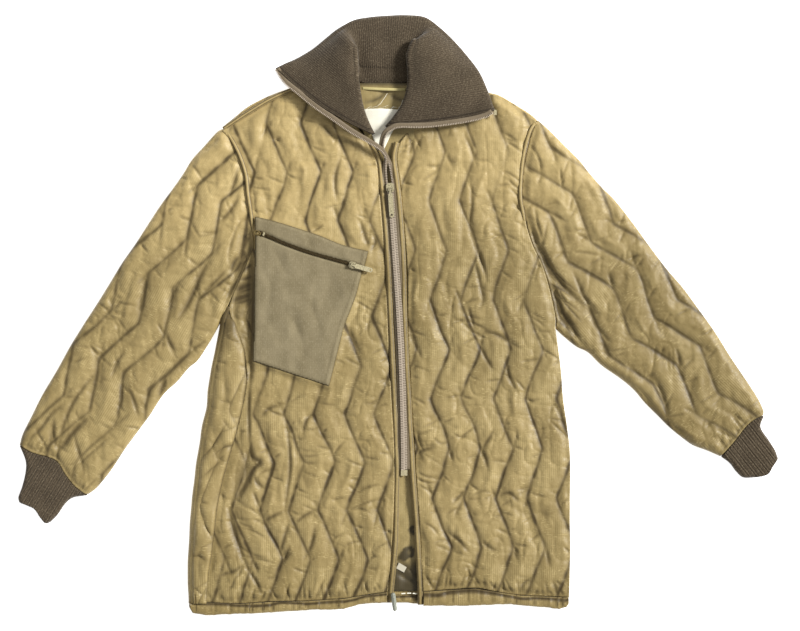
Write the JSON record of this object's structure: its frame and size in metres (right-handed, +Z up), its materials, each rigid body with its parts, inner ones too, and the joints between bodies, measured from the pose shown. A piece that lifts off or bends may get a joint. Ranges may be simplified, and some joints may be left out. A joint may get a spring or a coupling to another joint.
{
  "type": "quilted liner jacket, laid flat",
  "caption": "Hip-length quilted liner jacket laid flat, front up, with a folded-open rib-knit collar, knit cuffs, a zip front and a patch pocket.",
  "frame": {"origin": "on the surface, under the back, about a hand's width below the middle of the body", "axes": "+Z up off the surface, towards the front of the jacket; +Y from the hem to the collar; +X to the side of the wearer's left arm"},
  "size_m": [1.1784, 0.9243, 0.0355],
  "materials": {
    "quilted_shell": "khaki nylon taffeta with a soft sheen, quilted over thin wadding in zigzag lines",
    "rib_knit": "matt brown-grey wool rib knit, doubled",
    "pocket_cotton": "matt grey-olive plain-weave cotton",
    "lining": "smooth olive-tan nylon lining, creased",
    "zip_tape": "woven grey-beige tape",
    "zip_teeth": "fine pinkish-grey teeth",
    "pocket_teeth": "dark aged brass teeth",
    "zip_metal": "pale worn nickel over brass",
    "label": "off-white woven cotton, blank",
    "loop_tape": "pale khaki nylon tape",
    "cord_tip": "grey pressed cord end"
  },
  "bodies": {
    "root": {"back": "quilted_shell", "front_right": "quilted_shell", "front_left": "quilted_shell", "sleeve_right": "quilted_shell", "sleeve_left": "quilted_shell", "band_right": "quilted_shell", "band_left": "quilted_shell", "hem_back": "quilted_shell", "hem_right": "quilted_shell", "hem_left": "quilted_shell", "collar": "rib_knit", "cuff_right": "rib_knit", "cuff_left": "rib_knit", "zip_slider": "zip_metal", "zip_slider_lug_right": "zip_metal", "zip_slider_lug_left": "zip_metal", "pocket_slider": "zip_metal", "pocket_slider_lug_right": "zip_metal", "pocket_slider_lug_left": "zip_metal", "zip_bottom_stop": "zip_metal", "zip_top_stop": "zip_metal", "pocket_zip_end": "zip_metal", "pocket_strip": "pocket_cotton", "pocket_bag": "pocket_cotton", "zip_chain": "zip_teeth", "pocket_zip": "pocket_teeth", "zip_tape_right": "zip_tape", "zip_tape_left": "zip_tape", "back_lining": "lining", "neck_label": "label", "hem_tab": "label", "hanger_loop": "loop_tape", "hem_cord_end": "cord_tip"},
    "zip_pull": {"zip_pull": "zip_metal"},
    "pocket_pull": {"pocket_pull": "zip_metal"}
  },
  "joints": [
    {"name": "zip_pull_hinge", "type": "hinge", "parent": "root", "child": "zip_pull", "pos_m": [-0.00746, 0.21789, 0.0222], "axis": [-0.9982, -0.06, 0], "range_deg": [0, 150]},
    {"name": "pocket_pull_hinge", "type": "hinge", "parent": "root", "child": "pocket_pull", "pos_m": [-0.06739, 0.10081, 0.02747], "axis": [-0.266, -0.964, 0], "range_deg": [0, 150]}
  ]
}
